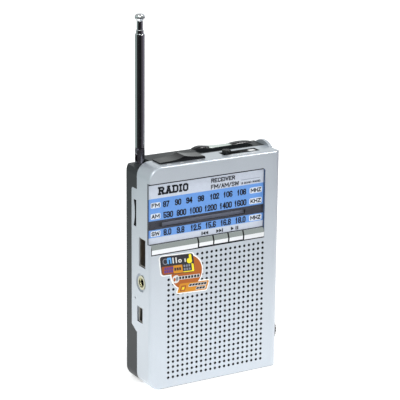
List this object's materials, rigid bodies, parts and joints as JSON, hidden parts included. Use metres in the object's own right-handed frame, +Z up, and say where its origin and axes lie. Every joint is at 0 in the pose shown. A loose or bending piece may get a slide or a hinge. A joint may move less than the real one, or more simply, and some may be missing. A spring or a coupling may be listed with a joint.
{
  "type": "shortwave receiver",
  "caption": "Pocket FM/AM/SW receiver with a clear dial window, perforated speaker front, side sockets, thumbwheels, push buttons and a folding telescopic antenna.",
  "frame": {"origin": "centre of the base that the receiver stands on, midway between the case's sides and midway between its front and back faces", "axes": "+X to the right seen from the front, +Y from the front to the back, +Z up"},
  "size_m": [0.0714, 0.0238, 0.1726],
  "materials": {
    "silver_shell": "fine matte silver paint over ABS",
    "black_shell": "charcoal ABS with a light sheen",
    "lens": "clear acrylic",
    "dial_print": "printed scale plate",
    "chrome": "bright plating",
    "speaker_metal": "pressed steel",
    "ferrite": "dull black ferrite",
    "paper_cone": "black pulp cone",
    "board": "green solder mask",
    "plated_steel": "tin plated",
    "black_plastic": "moulded nylon",
    "led": "tinted epoxy",
    "capacitor_case": "translucent white plastic",
    "cord": "braided thread",
    "pointer": "dark plastic",
    "guide": "grey moulded strip",
    "copper": "enamelled copper wire",
    "cell": "plain wrapped cell",
    "contact": "gold flashed spring",
    "chip": "epoxy package",
    "sticker": "printed vinyl",
    "knob": "black ABS, slightly polished"
  },
  "bodies": {
    "case": {"front_shell": "silver_shell", "back_shell": "black_shell", "dial_lens": "lens", "dial_plate": "dial_print", "trim_bar": "chrome", "speaker_frame": "speaker_metal", "speaker_magnet": "ferrite", "speaker_cone": "paper_cone", "main_board": "board", "usb_socket_shell": "plated_steel", "usb_socket_tongue": "black_plastic", "mini_usb_socket": "plated_steel", "card_socket": "plated_steel", "headphone_jack_body": "black_plastic", "headphone_jack_ring": "chrome", "charge_led": "led", "tuning_capacitor": "capacitor_case", "dial_pulleys": "black_plastic", "dial_cord": "cord", "pointer_guide": "guide", "volume_pot": "black_plastic", "band_switch_plate": "knob", "band_switch_body": "plated_steel", "function_switch_plate": "knob", "function_switch_body": "plated_steel", "tact_switches": "black_plastic", "ferrite_rod": "ferrite", "ferrite_coil": "copper", "battery": "cell", "battery_contacts": "contact", "board_chips": "chip", "board_capacitors": "capacitor_case", "case_screws": "plated_steel", "board_screws": "plated_steel", "antenna_bracket": "contact", "promo_label": "sticker"},
    "antenna_base": {"antenna_turret": "chrome", "antenna_base_screw": "plated_steel", "antenna_pivot_pin": "plated_steel"},
    "antenna_mast": {"antenna_foot": "chrome", "antenna_tube_outer": "chrome"},
    "antenna_middle": {"antenna_tube_middle": "chrome"},
    "antenna_inner": {"antenna_tube_inner": "chrome"},
    "antenna_tip": {"antenna_tip_rod": "chrome", "antenna_tip_cap": "chrome"},
    "band_knob": {"band_switch_knob": "knob"},
    "function_knob": {"function_switch_knob": "knob"},
    "tuning": {"tuning_wheel": "knob", "tuning_shaft": "contact"},
    "pointer": {"dial_pointer": "pointer"},
    "volume": {"volume_wheel": "knob", "volume_shaft": "contact"},
    "previous_button": {"button_previous": "chrome"},
    "next_button": {"button_next": "chrome"},
    "play_button": {"button_play": "chrome"},
    "door": {"battery_door": "black_shell"}
  },
  "joints": [
    {"name": "antenna_swivel", "type": "hinge", "parent": "case", "child": "antenna_base", "pos_m": [-0.0318, 0.00295, 0.106], "axis": [0, 0, 1], "continuous": true},
    {"name": "antenna_fold", "type": "hinge", "parent": "antenna_base", "child": "antenna_mast", "pos_m": [-0.0318, 0.00295, 0.1099], "axis": [0, 1, 0], "range_deg": [0, 90]},
    {"name": "antenna_extend_middle", "type": "slide", "parent": "antenna_mast", "child": "antenna_middle", "axis": [0, 0, 1], "range_m": [0, 0.043]},
    {"name": "antenna_extend_inner", "type": "slide", "parent": "antenna_middle", "child": "antenna_inner", "axis": [0, 0, 1], "range_m": [0, 0.046]},
    {"name": "antenna_extend_tip", "type": "slide", "parent": "antenna_inner", "child": "antenna_tip", "axis": [0, 0, 1], "range_m": [0, 0.046]},
    {"name": "band_switch_slide", "type": "slide", "parent": "case", "child": "band_knob", "axis": [1, 0, 0], "range_m": [0, 0.005]},
    {"name": "function_switch_slide", "type": "slide", "parent": "case", "child": "function_knob", "axis": [1, 0, 0], "range_m": [0, 0.006]},
    {"name": "tuning_turn", "type": "hinge", "parent": "case", "child": "tuning", "pos_m": [0.022, -0.00365, 0.0845], "axis": [0, 1, 0], "range_deg": [0, 180]},
    {"name": "pointer_travel", "type": "slide", "parent": "case", "child": "pointer", "axis": [1, 0, 0], "range_m": [0, 0.0431]},
    {"name": "volume_turn", "type": "hinge", "parent": "case", "child": "volume", "pos_m": [0.0269, -0.00675, 0.0168], "axis": [0, 1, 0], "range_deg": [0, 270]},
    {"name": "previous_press", "type": "slide", "parent": "case", "child": "previous_button", "axis": [0, 1, 0], "range_m": [0, 0.0008], "stiffness_N_per_m": 150, "springref_m": -0.0004},
    {"name": "next_press", "type": "slide", "parent": "case", "child": "next_button", "axis": [0, 1, 0], "range_m": [0, 0.0008], "stiffness_N_per_m": 150, "springref_m": -0.0004},
    {"name": "play_press", "type": "slide", "parent": "case", "child": "play_button", "axis": [0, 1, 0], "range_m": [0, 0.0008], "stiffness_N_per_m": 150, "springref_m": -0.0004},
    {"name": "battery_door_open", "type": "hinge", "parent": "case", "child": "door", "pos_m": [0, 0.01085, 0.0081], "axis": [-1, 0, 0], "range_deg": [0, 75]}
  ],
  "couplings": [
    {"joint": "pointer_travel", "follows": "tuning_turn", "m_per_rad": 0.0137}
  ]
}
